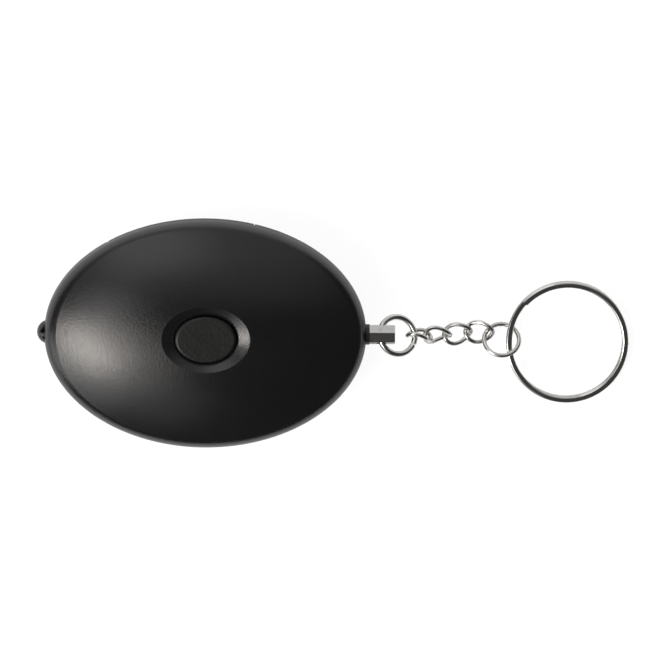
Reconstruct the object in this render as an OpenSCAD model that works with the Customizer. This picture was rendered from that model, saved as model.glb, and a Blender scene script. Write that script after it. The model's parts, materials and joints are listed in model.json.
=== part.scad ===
// Personal safety alarm on a key ring. Pulling the pin out of the case sounds the siren.
// Millimetres, Z up. The origin is the middle of the flat base. The pin points to +X, the lamp to -X.

/* [Case] */
// Length of the oval case, along X
case_length = 66; // [58:1:80]
// Width of the oval case, along Y
case_width = 47; // [42:1:60]
// Height of the case above its base
case_height = 21; // [20:0.5:28]
// Height of the plane where the two shells meet
part_height = 10.5; // [9.5:0.5:13]
// Radius between the side band and the domes
edge_round = 3.75; // [3:0.25:4.5]
// Height of the straight side band above and below the parting plane
edge_band = 1.3; // [1:0.05:2]
// Wall of both shells
wall = 1.8; // [1.4:0.1:2.4]
// How far the rear dome is cut short to make the flat base
base_cut = 2; // [1.5:0.25:2.5]
// Width of the line between shell and battery door
door_gap = 0.25; // [0.15:0.05:0.4]

/* [Torch button] */
// Length of the dish round the button
dish_length = 18.1; // [16:0.1:20]
// Length of the button
button_length = 12.6; // [11:0.1:14]
// Width of the button over its length
oval_ratio = 0.764; // [0.7:0.002:0.85]
// Gap between the button and the case
button_gap = 0.33; // [0.2:0.01:0.5]
// Depth of the dish below the top of the dome
dish_depth = 1.4; // [1:0.1:1.8]
// How far the button top lies below the top of the dome
button_drop = 0.3; // [0.1:0.05:0.8]
// Rounding of the button's top edge
button_round = 0.6; // [0.3:0.1:1]
// Press travel of the button
button_travel = 0.5; // [0.3:0.05:0.6]

/* [Circuit board] */
// Length of the board
board_length = 40; // [36:1:44]
// Width of the board
board_width = 22; // [20:0.5:24]
// Thickness of the board
board_thick = 1; // [0.8:0.1:1.2]
// Depth of the underside of the board below the top of the case
board_depth = 6; // [5.8:0.1:6.2]
// Side of the push switch body
switch_side = 6; // [5:0.5:6.5]
// Height of the push switch body
switch_height = 2.5; // [2:0.1:2.6]
// Diameter of the push switch plunger
plunger_d = 3.4; // [3:0.1:3.6]

/* [Lamp] */
// Diameter of the lamp's lens
lamp_d = 5; // [3:0.5:5]
// How far the lens stands out of the case
lamp_out = 1.5; // [0.5:0.1:2.2]
// Length of the lens from its tip to its flange
lamp_length = 7.6; // [6:0.2:9]
// Diameter of a lamp lead
lead_d = 0.5; // [0.4:0.05:0.6]

/* [Battery] */
// Diameter of a button cell
cell_d = 11.6; // [9.5:0.1:11.6]
// Thickness of a button cell
cell_thick = 5.4; // [3.6:0.1:5.4]
// Number of cells in the row
cell_count = 3; // [2:1:3]
// X of the row's spring end
cell_start = -11; // [-12:0.5:-10]
// Y of the row's axis
cell_y = 8.2; // [8:0.1:8.6]
// Z of the row's axis
cell_z = 8.8; // [8.6:0.1:9]
// Working length of the battery spring
spring_length = 4; // [3:0.1:4.5]
// Wire of the battery spring
spring_wire = 0.6; // [0.4:0.05:0.6]
// Thickness of the contact plates
plate_thick = 0.4; // [0.3:0.05:0.6]

/* [Siren] */
// Diameter of the brass plate
piezo_d = 18; // [15:0.5:18]
// Diameter of the ceramic disc
ceramic_d = 12; // [9:0.5:12]
// Thickness of the brass plate
piezo_thick = 0.25; // [0.2:0.05:0.4]
// Height of the underside of the brass plate
piezo_z = 6.6; // [6.4:0.1:7]
// Width of a sound slot
slot_width = 1.4; // [0.8:0.1:1.8]
// Number of sound slots
slot_count = 4; // [2:1:4]

/* [Pull pin] */
// Width across the flats of the pin's head
pin_flats = 3.6; // [3:0.1:4]
// Length of the pin's head
pin_head = 5.2; // [4.4:0.1:6]
// Diameter of the pin's shank
pin_shank_d = 2.4; // [2:0.1:2.6]
// Diameter of the pin's tip
pin_tip_d = 0.7; // [0.5:0.1:1]
// Diameter of the cross hole
pin_hole_d = 2.1; // [2:0.1:2.3]
// Turn of the pin about its own axis
pin_roll = -18; // [-30:1:30]
// Pull travel of the pin
pin_travel = 14; // [10:0.5:16]
// Outer diameter of the bush
bush_d = 4.2; // [3.8:0.1:4.8]
// How far the bush stands out of the case
bush_out = 0.65; // [0.3:0.05:1]
// Running clearance of the shank in the bush, at the radius
run_gap = 0.05; // [0.02:0.01:0.1]

/* [Chain] */
// Mean radius of the pin ring
ring_r = 3.85; // [3.5:0.05:4.2]
// Wire of the pin ring
ring_wire = 1.2; // [1:0.05:1.25]
// Length of a link
link_length = 6.5; // [5.8:0.1:7]
// Width of a link
link_width = 5.1; // [4.6:0.1:5.4]
// Wire of a link
link_wire = 0.88; // [0.7:0.02:0.9]
// Twist of each half of a link
link_twist = 32; // [20:1:45]
// Mean radius of the connecting ring
join_r = 3.6; // [3.2:0.05:4]
// Wire of the connecting ring
join_wire = 0.9; // [0.7:0.05:0.95]
// Mean radius of the key ring
key_r = 12; // [9:0.5:15]
// Width of the key ring's wire, across the ring
key_wire = 1.25; // [1:0.05:1.5]
// Height of one turn of the key ring
key_turn = 0.9; // [0.7:0.05:1]
// Clear gap between the two turns of the key ring
key_gap = 0.42; // [0.42:0.02:0.6]
// Clear gap between two wires that hook into each other
hook_gap = 0.12; // [0.08:0.01:0.2]

/* [Fasteners] */
// Diameter of a case screw's shank
screw_d = 2; // [1.6:0.1:2.2]
// Diameter of a case screw's head
screw_head_d = 3.8; // [3.2:0.1:4.2]
// Height of a case screw's head
screw_head = 1.5; // [1.2:0.1:1.8]
// Height of the face that a case screw's head pulls on
screw_seat = 5.3; // [5:0.1:6]
// Diameter of a board screw's shank
board_screw_d = 1.6; // [1.4:0.1:1.8]
// Radial clearance round a screw that passes freely
screw_free = 0.2; // [0.1:0.05:0.3]

/* [Hidden] */
// Piece to draw, or "all"

$fn = 96;
half_length = case_length / 2;
half_width = case_width / 2;
touch = 0.02;
over = 1;
board_z = case_height - board_depth;

black = [0.05, 0.05, 0.055];
nickel = [0.75, 0.75, 0.76];
steel = [0.62, 0.62, 0.64];
brass = [0.78, 0.6, 0.28];
copper = [0.72, 0.4, 0.22];
green = [0.1, 0.32, 0.16];
grey = [0.3, 0.3, 0.32];

// Oval case: a dome arc and an edge arc that meet smoothly, turned about Z in quarters and narrowed in Y.
function dome_radius(rise) =
  (pow(rise, 2) + pow(half_length - edge_round, 2) - pow(edge_round, 2)) / (2 * (rise - edge_round));

hollow_ratio = (case_width - 2 * wall) / (case_length - 2 * wall);
top_rise = case_height - part_height - edge_band;
top_dome = dome_radius(top_rise);
rear_rise = part_height - edge_band + base_cut;
rear_dome = dome_radius(rear_rise);

// Half profile above a parting line at 0: side band, edge arc, dome, cut flat at the cap height.
// The dome arc ends and the edge arc begins on the line that is square to both.
module dome_profile(rise, dome, cap) {
  inner = half_length - edge_round;
  lean = asin(inner / (dome - edge_round));
  intersection() {
    translate([0, edge_band + rise - dome]) circle(dome);
    square([case_length, cap]);
    translate([inner, edge_band]) rotate(-lean) translate([-case_length, -case_length])
      square([case_length, 2 * case_length]);
  }
  intersection() {
    translate([inner, edge_band]) circle(edge_round);
    translate([inner, edge_band]) square(2 * edge_round);
    translate([inner, edge_band]) rotate(-lean) translate([0, -case_length])
      square([case_length, 2 * case_length]);
  }
  square([half_length, edge_band]);
}

// Half profile of the space inside the same dome.
module hollow_profile(rise, dome, depth) {
  intersection() {
    translate([0, edge_band + rise - dome]) circle(dome - wall);
    translate([0, -over]) square([half_length - wall, depth + over]);
  }
}

module oval(ratio) {
  for (a = [0 : 90 : 270]) scale([1, ratio, 1]) rotate([0, 0, a]) rotate_extrude(angle = 90) children();
}

module top_solid() {
  translate([0, 0, part_height]) oval(case_width / case_length) dome_profile(top_rise, top_dome, case_height);
}

module top_hollow() {
  translate([0, 0, part_height])
    oval(hollow_ratio) hollow_profile(top_rise, top_dome, case_height);
}

module rear_solid() translate([0, 0, part_height]) rotate([180, 0, 0])
  oval(case_width / case_length) dome_profile(rear_rise, rear_dome, part_height);

module rear_hollow() translate([0, 0, part_height]) rotate([180, 0, 0])
  oval(hollow_ratio) hollow_profile(rear_rise, rear_dome, part_height - wall);

// Height of the rear dome over a point of the plan.
function plan_radius(p) = norm([p[0], p[1] * case_length / case_width]);
function rear_face(p) = let (r = plan_radius(p)) rear_dome - base_cut - sqrt(pow(rear_dome, 2) - r * r);

// Screws
case_screw_at = [[-22.5, -8.5], [22, 9.5], [-1, -17]];
case_boss_d = screw_head_d + 2;
case_screw_bite = 4;
case_screw_tip = part_height + case_screw_bite;
board_screw_at = [[-15, 0], [15.5, -5]];
board_post_d = board_screw_d + 2.2;
board_screw_length = 2.2;
board_screw_head_d = 3;
board_screw_head = 0.9;
pilot_free = 0.3;
pilot_room = 1;

module screw(at, seat, d, length, head_d, head) {
  translate([at[0], at[1], 0]) difference() {
    union() {
      translate([0, 0, seat - head]) cylinder(d = head_d, h = head);
      translate([0, 0, seat - touch]) cylinder(d = d, h = length);
    }
    for (a = [0, 90]) rotate([0, 0, a])
      translate([-head_d * 0.32, -head_d * 0.07, seat - head - over])
        cube([head_d * 0.64, head_d * 0.14, over + head * 0.45]);
  }
}

// Button
hole_length = button_length + 2 * button_gap;
dish_floor = case_height - dish_depth;
dish_rise = dish_depth - top_dome + sqrt(pow(top_dome, 2) - pow(dish_length / 2, 2));
ledge_depth = 3;
ledge_z = case_height - ledge_depth;
ledge_length = dish_length + 2.4;
button_top = case_height - button_drop;
flange_thick = 0.8;
flange_gap = 0.05;
flange_out = 1;
flange_top = ledge_z - flange_gap;
flange_z = flange_top - flange_thick;
button_web = 1.5;
web_z = button_top - button_web;
board_top = board_z + board_thick;
switch_top = board_top + switch_height;
switch_room = 0.5;

module ellipse_bar(length, z, height) {
  translate([0, 0, z]) linear_extrude(height) scale([1, oval_ratio]) circle(d = length);
}

module top_shell() color(black) difference() {
  union() {
    difference() {
      top_solid();
      difference() {
        top_hollow();
        ellipse_bar(ledge_length, ledge_z, case_height);
        for (p = case_screw_at)
          translate([p[0], p[1], part_height]) cylinder(d = case_boss_d, h = case_height);
        for (p = board_screw_at)
          translate([p[0], p[1], board_top]) cylinder(d = board_post_d, h = case_height);
      }
    }
  }
  ellipse_bar(hole_length, ledge_z - over, case_height);
  translate([0, 0, dish_floor]) scale([1, oval_ratio, 1])
    cylinder(d1 = hole_length, d2 = 2 * dish_length - hole_length, h = 2 * dish_rise);
  for (p = case_screw_at)
    translate([p[0], p[1], part_height - over])
      cylinder(d = screw_d + 2 * touch, h = case_screw_bite + pilot_room + over);
  for (p = board_screw_at)
    translate([p[0], p[1], board_top - over])
      cylinder(d = board_screw_d + 2 * touch, h = board_screw_length - board_thick + pilot_free + over);
  lamp_hole();
  bush_hole();
}

module button_profile(z, height) {
  r = button_length / 2;
  translate([0, z]) {
    square([r, height - button_round]);
    translate([0, height - button_round]) square([r - button_round, button_round]);
    intersection() {
      translate([r - button_round, height - button_round]) circle(button_round);
      translate([r - button_round, height - button_round]) square(button_round + over);
    }
  }
}

module torch_button() color(black) difference() {
  union() {
    oval(oval_ratio) button_profile(flange_z, button_top - flange_z);
    ellipse_bar(hole_length + 2 * flange_out, flange_z, flange_thick);
  }
  translate([-switch_side / 2 - switch_room, -switch_side / 2 - switch_room, flange_z - over])
    cube([switch_side + 2 * switch_room, switch_side + 2 * switch_room, web_z - flange_z + over]);
}

plunger_length = 2.2;

module switch_plunger() color(black) translate([0, 0, web_z - plunger_length])
  cylinder(d = plunger_d, h = plunger_length);

module switch_body() color(grey) difference() {
  translate([-switch_side / 2, -switch_side / 2, board_top]) cube([switch_side, switch_side, switch_height]);
  translate([0, 0, web_z - plunger_length - button_travel - 0.1])
    cylinder(d = plunger_d + 2 * run_gap, h = case_height);
}

// Battery door, cut out of the rear shell on the +Y side
door_left = -20.3;
door_right = 10;
door_front = 1.5;
door_screw_at = [-17.8, 5];
door_screw_d = 1.8;
door_screw_head_d = 3.2;
door_screw_head = 1.1;
door_screw_seat = 2.8;
door_boss_d = 4.4;
door_boss_z = 5.4;
door_screw_tip = 8.6;

module door_block(inset) {
  translate([door_left + inset, door_front + inset, -over])
    cube([door_right - door_left - 2 * inset, case_width, part_height + 2 * over]);
}

module battery_door() color(black) difference() {
  intersection() {
    union() {
      difference() {
        rear_solid();
        rear_hollow();
      }
      intersection() {
        rear_solid();
        translate([door_screw_at[0], door_screw_at[1], 0])
          cylinder(d = door_boss_d, h = door_boss_z - door_gap);
      }
    }
    door_block(door_gap);
    translate([-case_length, -case_width, -over])
      cube([2 * case_length, 2 * case_width, part_height + over - door_gap]);
  }
  translate([door_screw_at[0], door_screw_at[1], -over])
    cylinder(d = door_screw_head_d + 2 * screw_free, h = door_screw_seat + over);
  translate([door_screw_at[0], door_screw_at[1], -over])
    cylinder(d = door_screw_d + 2 * screw_free, h = case_height);
}

module door_screw() color(steel)
  screw(door_screw_at, door_screw_seat, door_screw_d, door_screw_tip - door_screw_seat,
    door_screw_head_d, door_screw_head);

// Battery bay: a divider and two end ribs of the rear shell
cell_end = cell_start + cell_count * cell_thick;
rib = 1.2;
rib_low = 5.6;
rib_drop = 2;
rib_high = board_z - rib_drop;
divider_drop = 3;
divider_high = board_z - divider_drop;
rib_back = 12.5;
left_rib = cell_start - spring_length - plate_thick - rib;
right_rib = cell_end + plate_thick;

module battery_bay() {
  translate([left_rib, door_front - rib, wall / 2])
    cube([right_rib + rib - left_rib, rib, divider_high - wall / 2]);
  for (x = [left_rib, right_rib])
    translate([x, door_front - rib, rib_low]) cube([rib, rib_back, rib_high - rib_low]);
  translate([door_screw_at[0], door_screw_at[1], door_boss_z]) cylinder(d = door_boss_d, h = 3.8);
}

// Saddle ribs of the rear shell under the lamp and under the bush
saddle_width = 8;
saddle_gap = 0.1;
saddle_root = 0.4;

module saddle(x) {
  low = rear_face([abs(x) + rib, saddle_width / 2]) + saddle_root;
  translate([x, -saddle_width / 2, low]) cube([rib, saddle_width, part_height - low]);
}

module saddles() {
  saddle(lamp_tip + lamp_length - saddle_gap - rib);
  saddle(bush_start + saddle_gap);
}

// Siren seat: a ring wall with sound slots under it
piezo_in = 18;
piezo_at = [half_length - piezo_in, -6.2];
seat_wall = 1;
seat_room = 0.2;
slot_step = 3;
slot_half = 4;

module siren_seat() {
  intersection() {
    translate([piezo_at[0], piezo_at[1], 0]) difference() {
      cylinder(d = piezo_d + 2 * seat_room, h = piezo_z);
      translate([0, 0, -over])
        cylinder(d = piezo_d + 2 * seat_room - 2 * seat_wall, h = piezo_z + 2 * over);
    }
    rear_solid();
  }
}

module sound_slots() {
  for (i = [0 : slot_count - 1])
    translate([piezo_at[0] + (i - (slot_count - 1) / 2) * slot_step, piezo_at[1], -over])
      linear_extrude(piezo_z) union() {
        square([slot_width, 2 * slot_half], center = true);
        for (s = [-slot_half, slot_half]) translate([0, s]) circle(d = slot_width);
      }
}

module rear_shell() color(black) difference() {
  union() {
    difference() {
      rear_solid();
      difference() {
        rear_hollow();
        for (p = case_screw_at)
          translate([p[0], p[1], 0]) cylinder(d = case_boss_d, h = case_height);
      }
      door_block(0);
    }
    battery_bay();
    siren_seat();
    saddles();
  }
  for (p = case_screw_at) translate([p[0], p[1], -over]) {
    cylinder(d = screw_head_d + 2 * screw_free, h = screw_seat + over);
    cylinder(d = screw_d + 2 * screw_free, h = case_height);
  }
  translate([door_screw_at[0], door_screw_at[1], 0]) cylinder(d = door_screw_d + 2 * touch, h = case_height);
  sound_slots();
  lamp_hole();
  bush_hole();
}

module case_screws() color(steel) for (p = case_screw_at)
  screw(p, screw_seat, screw_d, case_screw_tip - screw_seat, screw_head_d, screw_head);

// Lamp
lamp_gap = 0.05;
lamp_tip = -half_length - lamp_out;
lamp_flange = 1;
lamp_rim = 0.4;
lamp_back = lamp_tip + lamp_length + lamp_flange;
lead_space = 2.54;
lead_x = -18.5;
lead_bend = 1;

module lamp_hole() translate([-half_length - over, 0, part_height]) rotate([0, 90, 0])
  cylinder(d = lamp_d + 2 * lamp_gap, h = half_length + over + lamp_tip + lamp_length);

module lamp() color([0.8, 0.82, 0.85, 0.5]) {
  translate([lamp_tip + lamp_d / 2, 0, part_height]) {
    intersection() {
      sphere(d = lamp_d);
      translate([-lamp_d, -lamp_d, -lamp_d]) cube([lamp_d, 2 * lamp_d, 2 * lamp_d]);
    }
    rotate([0, 90, 0]) cylinder(d = lamp_d, h = lamp_length - lamp_d / 2);
  }
  translate([lamp_tip + lamp_length, 0, part_height]) rotate([0, 90, 0])
    cylinder(d = lamp_d + 2 * lamp_rim, h = lamp_flange);
}

module lamp_leads() color(steel) for (s = [-1, 1]) translate([0, s * lead_space / 2, part_height]) {
  translate([lamp_back, 0, 0]) rotate([0, 90, 0]) cylinder(d = lead_d, h = lead_x - lead_bend - lamp_back);
  translate([lead_x - lead_bend, 0, lead_bend]) rotate([90, 0, 0]) rotate([0, 0, -90])
    rotate_extrude(angle = 90) translate([lead_bend, 0]) circle(d = lead_d);
  translate([lead_x, 0, lead_bend]) cylinder(d = lead_d, h = board_top + 0.5 - part_height - lead_bend);
}

// Board and its parts. A notch over the cells leaves the contact plates' tabs their landing.
notch_edge = 0.1;
notch_half = 4.6;
lead_free = 0.15;

module circuit_board() color(green) difference() {
  translate([0, 0, board_z]) linear_extrude(board_thick) union() {
    square([board_length - board_width, board_width], center = true);
    for (s = [-1, 1]) translate([s * (board_length - board_width) / 2, 0]) circle(d = board_width);
  }
  translate([cell_start - spring_length + notch_edge, cell_y - notch_half, board_z - over])
    cube([cell_end - cell_start + spring_length, board_width, board_thick + 2 * over]);
  for (s = [-1, 1]) translate([lead_x, s * lead_space / 2, board_z - over])
    cylinder(d = lead_d + 2 * lead_free, h = board_thick + 2 * over);
  for (p = board_screw_at) translate([p[0], p[1], board_z - over])
    cylinder(d = board_screw_d + 2 * screw_free, h = board_thick + 2 * over);
}

module board_screws() color(steel) for (p = board_screw_at)
  screw(p, board_z, board_screw_d, board_screw_length, board_screw_head_d, board_screw_head);

chip_at = [11, 2.5];
chip_size = [5, 4, 1.3];
transistor_at = [-10.5, -4];
transistor_size = [3, 1.6, 1.1];
resistor_at = [[-9.5, 2.6], [-12.5, 2.6], [9, -5]];
resistor_size = [2, 1.2, 0.6];

module on_board(at, size) translate([at[0] - size[0] / 2, at[1] - size[1] / 2, board_top]) cube(size);

module control_chip() color(grey) on_board(chip_at, chip_size);

module transistor() color(grey) on_board(transistor_at, transistor_size);

module chip_resistors() color(grey) for (p = resistor_at) on_board(p, resistor_size);

capacitor_at = [-2, -6];
capacitor_d = 5;
capacitor_height = 7;

module capacitor() color(grey) translate([capacitor_at[0], capacitor_at[1], board_z - capacitor_height])
  cylinder(d = capacitor_d, h = capacitor_height);

coil_at = [-11.5, -6];
coil_d = 8;
coil_core_d = 4;
coil_height = 7.5;
coil_flange = 1;

module coil_core() color(grey) translate([coil_at[0], coil_at[1], board_z - coil_height]) {
  cylinder(d = coil_d, h = coil_flange);
  cylinder(d = coil_core_d, h = coil_height);
  translate([0, 0, coil_height - coil_flange]) cylinder(d = coil_d, h = coil_flange);
}

module coil_winding() color(copper)
  translate([coil_at[0], coil_at[1], board_z - coil_height + coil_flange]) difference() {
    cylinder(d = coil_d - 0.8, h = coil_height - 2 * coil_flange);
    translate([0, 0, -over]) cylinder(d = coil_core_d, h = coil_height);
  }

// Siren
module piezo_plate() color(brass) translate([piezo_at[0], piezo_at[1], piezo_z])
  cylinder(d = piezo_d, h = piezo_thick);

module piezo_ceramic() color([0.9, 0.88, 0.82])
  translate([piezo_at[0], piezo_at[1], piezo_z + piezo_thick]) cylinder(d = ceramic_d, h = piezo_thick);

wire_d = 0.9;

// Course of a siren wire: down from the board, over in a smooth S, down onto the disc.
wire_steps = 14;
function wire_path(from, to, low) = [for (i = [0 : wire_steps])
  let (f = i / wire_steps, g = 0.5 - cos(180 * f) / 2)
  [from[0] + (to[0] - from[0]) * g, from[1] + (to[1] - from[1]) * g, board_z + (low - board_z) * f]];

module wire(path) swept(path, [for (p = path) [0, 1, 0]], round_section(wire_d, 8), false);

plate_top = piezo_z + piezo_thick;
ceramic_wire_board = [11.5, -9];
ceramic_wire_end = [13.5, -7.5];
plate_wire_board = [8, -9.5];
plate_wire_end = [7.5, -8.5];

module piezo_wires() color([0.6, 0.1, 0.08]) {
  wire(wire_path(ceramic_wire_board, ceramic_wire_end, plate_top + piezo_thick));
  wire(wire_path(plate_wire_board, plate_wire_end, plate_top));
}

// Battery
cell_step = 1;
cell_cap = 1.2;

module cell(i) {
  if (i < cell_count) color(steel)
    translate([cell_start + i * cell_thick, cell_y, cell_z]) rotate([0, 90, 0]) {
      cylinder(d = cell_d - 2 * cell_step, h = cell_thick);
      translate([0, 0, cell_cap]) cylinder(d = cell_d, h = cell_thick - cell_cap);
    }
}

module cell_1() cell(0);
module cell_2() cell(1);
module cell_3() cell(2);

plate_side = 8;
tab_width = 3;

module contact_strip(x) {
  translate([x, cell_y - plate_side / 2, cell_z - plate_side / 2])
    cube([plate_thick, plate_side, plate_side]);
  translate([x, cell_y - tab_width / 2, cell_z]) cube([plate_thick, tab_width, board_z - cell_z]);
}

module contact_plate() color(nickel) contact_strip(cell_end);

module spring_plate() color(nickel) contact_strip(cell_start - spring_length - plate_thick);

// A wire swept along a path: one ring of points for each point of the path.
function unit(v) = v / norm(v);
function ahead(path, i, closed) =
  let (n = len(path)) unit(closed ? path[(i + 1) % n] - path[(i + n - 1) % n]
    : path[min(i + 1, n - 1)] - path[max(i - 1, 0)]);

module swept(path, ups, section, closed) {
  n = len(path);
  m = len(section);
  points = [for (i = [0 : n - 1])
    let (t = ahead(path, i, closed), up = unit(ups[i] - (ups[i] * t) * t), side = cross(up, t))
    for (q = section) path[i] + q[0] * side + q[1] * up];
  walls = [for (i = [0 : closed ? n - 1 : n - 2]) for (j = [0 : m - 1])
    let (here = i * m, next = ((i + 1) % n) * m, k = (j + 1) % m)
    each [[here + j, next + j, next + k], [here + j, next + k, here + k]]];
  ends = closed ? [] : [[for (j = [0 : m - 1]) j], [for (j = [m - 1 : -1 : 0]) (n - 1) * m + j]];
  polyhedron(points = points, faces = concat(walls, ends), convexity = 6);
}

function round_section(d, sides) =
  [for (j = [0 : sides - 1]) d / 2 * [cos(360 * j / sides), sin(360 * j / sides)]];

// Least clear gap of a tube to itself, between points of the path more than half a turn apart.
function self_gap(path, d, skip) =
  let (last = len(path) - 1)
  min([for (i = [0 : 2 : last]) for (j = [i + skip : 2 : last]) norm(path[i] - path[j])]) - d;

spring_turns = 3;
spring_wide = 4.2;
spring_narrow = 2.2;
spring_steps = 24;
spring_path = [for (i = [0 : spring_turns * spring_steps])
  let (f = i / (spring_turns * spring_steps), r = spring_wide + (spring_narrow - spring_wide) * f,
    a = 360 * i / spring_steps)
  [cell_start - spring_length + spring_wire / 2 + (spring_length - spring_wire) * f,
    cell_y + r * cos(a), cell_z + r * sin(a)]];

module battery_spring() color(steel)
  swept(spring_path, [for (p = spring_path) [1, 0, 0]], round_section(spring_wire, 8), false);

// Pull pin, its bush and its switch
bush_end = half_length + bush_out;
bush_in = 7;
bush_start = half_length - bush_in;
bush_flange_d = bush_d + 1;
bush_flange = 1.1;
bush_flange_gap = 0.4;
bush_flange_end = half_length - wall - bush_flange_gap;
head_start = bush_end + touch;
head_end = head_start + pin_head;
hole_in = 2.43;
hole_x = head_start + hole_in;
tip_in = 14;
tip_x = half_length - tip_in;
cone_in = 10;
cone_x = half_length - cone_in;

module bush_hole() translate([bush_start, 0, part_height]) rotate([0, 90, 0])
  cylinder(d = bush_d + 2 * touch, h = half_length + over - bush_start);

module pin_bush() color(black) translate([0, 0, part_height]) rotate([0, 90, 0]) difference() {
  union() {
    translate([0, 0, bush_start]) cylinder(d = bush_d, h = bush_end - bush_start);
    translate([0, 0, bush_flange_end - bush_flange]) cylinder(d = bush_flange_d, h = bush_flange);
  }
  translate([0, 0, bush_start - over])
    cylinder(d = pin_shank_d + 2 * run_gap, h = bush_end - bush_start + 2 * over);
}

module pull_pin() color(nickel) translate([0, 0, part_height]) rotate([pin_roll, 0, 0]) {
  difference() {
    translate([head_start, 0, 0]) rotate([0, 90, 0]) cylinder(d = pin_flats / cos(30), h = pin_head, $fn = 6);
    translate([hole_x, 0, 0]) rotate([90, 0, 0]) cylinder(d = pin_hole_d, h = 2 * pin_flats, center = true);
  }
  translate([cone_x, 0, 0]) rotate([0, 90, 0]) cylinder(d = pin_shank_d, h = head_start - cone_x);
  translate([tip_x, 0, 0]) rotate([0, 90, 0]) cylinder(d1 = pin_tip_d, d2 = pin_shank_d, h = cone_x - tip_x);
}

leaf_x = 9.6;
leaf_y = 1.25;
leaf_thick = 0.3;
leaf_height = 2.6;
leaf_end = 0.6;
leaf_reach = 2;
leaf_bump_x = tip_x + leaf_reach;
leaf_tip = leaf_bump_x + leaf_end;
leaf_bump_r = 0.4;
leaf_gap = 0.08;
post_d = 1.2;
post_below = 0.4;
post_z = part_height - leaf_height / 2 - post_below;
eyelet_wall = 0.6;
contact_d = 1;
contact_in = 3;
contact_x = tip_x - contact_in;
contact_y = 0.1;
cone_lean = atan((pin_shank_d - pin_tip_d) / 2 / (cone_x - tip_x));
cone_r = pin_tip_d / 2 + (leaf_bump_x - tip_x) * tan(cone_lean);
leaf_bump_y = cone_r + (leaf_bump_r + leaf_gap) / cos(cone_lean);

module leaf_post() color(brass) translate([leaf_x, leaf_y, post_z])
  cylinder(d = post_d, h = board_z - post_z);

module switch_leaf() color(copper) translate([0, 0, part_height - leaf_height / 2]) difference() {
  union() {
    translate([leaf_x, leaf_y, 0]) cylinder(d = post_d + 2 * eyelet_wall, h = leaf_height);
    translate([leaf_x, leaf_y - leaf_thick / 2, 0]) cube([leaf_tip - leaf_x, leaf_thick, leaf_height]);
    translate([leaf_bump_x, leaf_bump_y, 0]) cylinder(r = leaf_bump_r, h = leaf_height);
  }
  translate([leaf_x, leaf_y, -over]) cylinder(d = post_d + 2 * run_gap, h = leaf_height + 2 * over);
}

module fixed_contact() color(brass) translate([contact_x, contact_y, post_z])
  cylinder(d = contact_d, h = board_z - post_z);

// Chain: each piece hooks into the one before it. A pose is yaw, pitch and roll.
function turn_x(a) = [[1, 0, 0], [0, cos(a), -sin(a)], [0, sin(a), cos(a)]];
function turn_y(a) = [[cos(a), 0, sin(a)], [0, 1, 0], [-sin(a), 0, cos(a)]];
function turn_z(a) = [[cos(a), -sin(a), 0], [sin(a), cos(a), 0], [0, 0, 1]];
function turned(pose, v) = turn_z(pose[0]) * (turn_y(pose[1]) * (turn_x(pose[2]) * v));
function ring_point(r, a) = [r * cos(a), r * sin(a), 0];
function link_point(a) =
  let (r = (link_width - link_wire) / 2 * sin(a), twist = link_twist * cos(a))
  [(link_length - link_wire) / 2 * cos(a), r * cos(twist), r * sin(twist)];

// Middle of a piece whose wire lies the given distance inside the end of the piece before.
function hooked(end, out, enter, apart) = end - unit(unit(out) - unit(enter)) * apart - enter;

pin_ring_pose = [-6, 20, pin_roll];
link_1_pose = [-8, 40, 98];
link_2_pose = [-6, 25, 42];
link_3_pose = [9, 11, 16];
link_4_pose = [-2, 4.6, 8];
join_pose = [0, 2, -34];
key_pose = [0, 3.6, 2];

link_1_slack = 0.08;
link_2_slack = 0.22;
link_3_slack = 0.08;
link_4_slack = 0.1;
join_slack = 0.2;
key_slack = 0.86;

hole_at = [hole_x, 0, part_height];
ring_sag = 0.3;
pin_ring_at = hole_at + turned(pin_ring_pose, [ring_r - ring_sag, 0, 0]);
ring_exit = turned(pin_ring_pose, ring_point(ring_r, 6));

link_1_in = turned(link_1_pose, link_point(180));
link_1_out = turned(link_1_pose, link_point(0));
link_1_apart = (ring_wire + link_wire) / 2 + hook_gap + link_1_slack;
link_1_at = hooked(pin_ring_at + ring_exit, ring_exit, link_1_in, link_1_apart);

link_2_in = turned(link_2_pose, link_point(184));
link_2_out = turned(link_2_pose, link_point(-4));
link_2_at = hooked(link_1_at + link_1_out, link_1_out, link_2_in, link_wire + hook_gap + link_2_slack);

link_3_in = turned(link_3_pose, link_point(180));
link_3_out = turned(link_3_pose, link_point(0));
link_3_at = hooked(link_2_at + link_2_out, link_2_out, link_3_in, link_wire + hook_gap + link_3_slack);

link_4_in = turned(link_4_pose, link_point(180));
link_4_out = turned(link_4_pose, link_point(0));
link_4_at = hooked(link_3_at + link_3_out, link_3_out, link_4_in, link_wire + hook_gap + link_4_slack);

join_in = turned(join_pose, ring_point(join_r, 146));
join_out = turned(join_pose, ring_point(join_r, 4));
join_apart = (link_wire + join_wire) / 2 + hook_gap + join_slack;
join_at = hooked(link_4_at + link_4_out, link_4_out, join_in, join_apart);

key_in = turned(key_pose, ring_point(key_r, 177));
key_apart = (join_wire + key_wire) / 2 + hook_gap + key_slack;
key_at = hooked(join_at + join_out, join_out, key_in, key_apart);

module posed(pose, at) translate(at) rotate([pose[2], pose[1], pose[0]]) children();

ring_cut = 5;
ring_cut_at = -26;

module pin_ring() color(nickel) posed(pin_ring_pose, pin_ring_at) rotate([0, 0, ring_cut_at])
  rotate_extrude(angle = 360 - ring_cut) translate([ring_r, 0]) circle(d = ring_wire);

link_steps = 48;
link_path = [for (i = [0 : link_steps - 1]) link_point(360 * i / link_steps)];
link_ups = [for (i = [0 : link_steps - 1])
  let (twist = link_twist * cos(360 * i / link_steps)) [0, -sin(twist), cos(twist)]];

module link() color(nickel) swept(link_path, link_ups, round_section(link_wire, 10), true);

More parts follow.
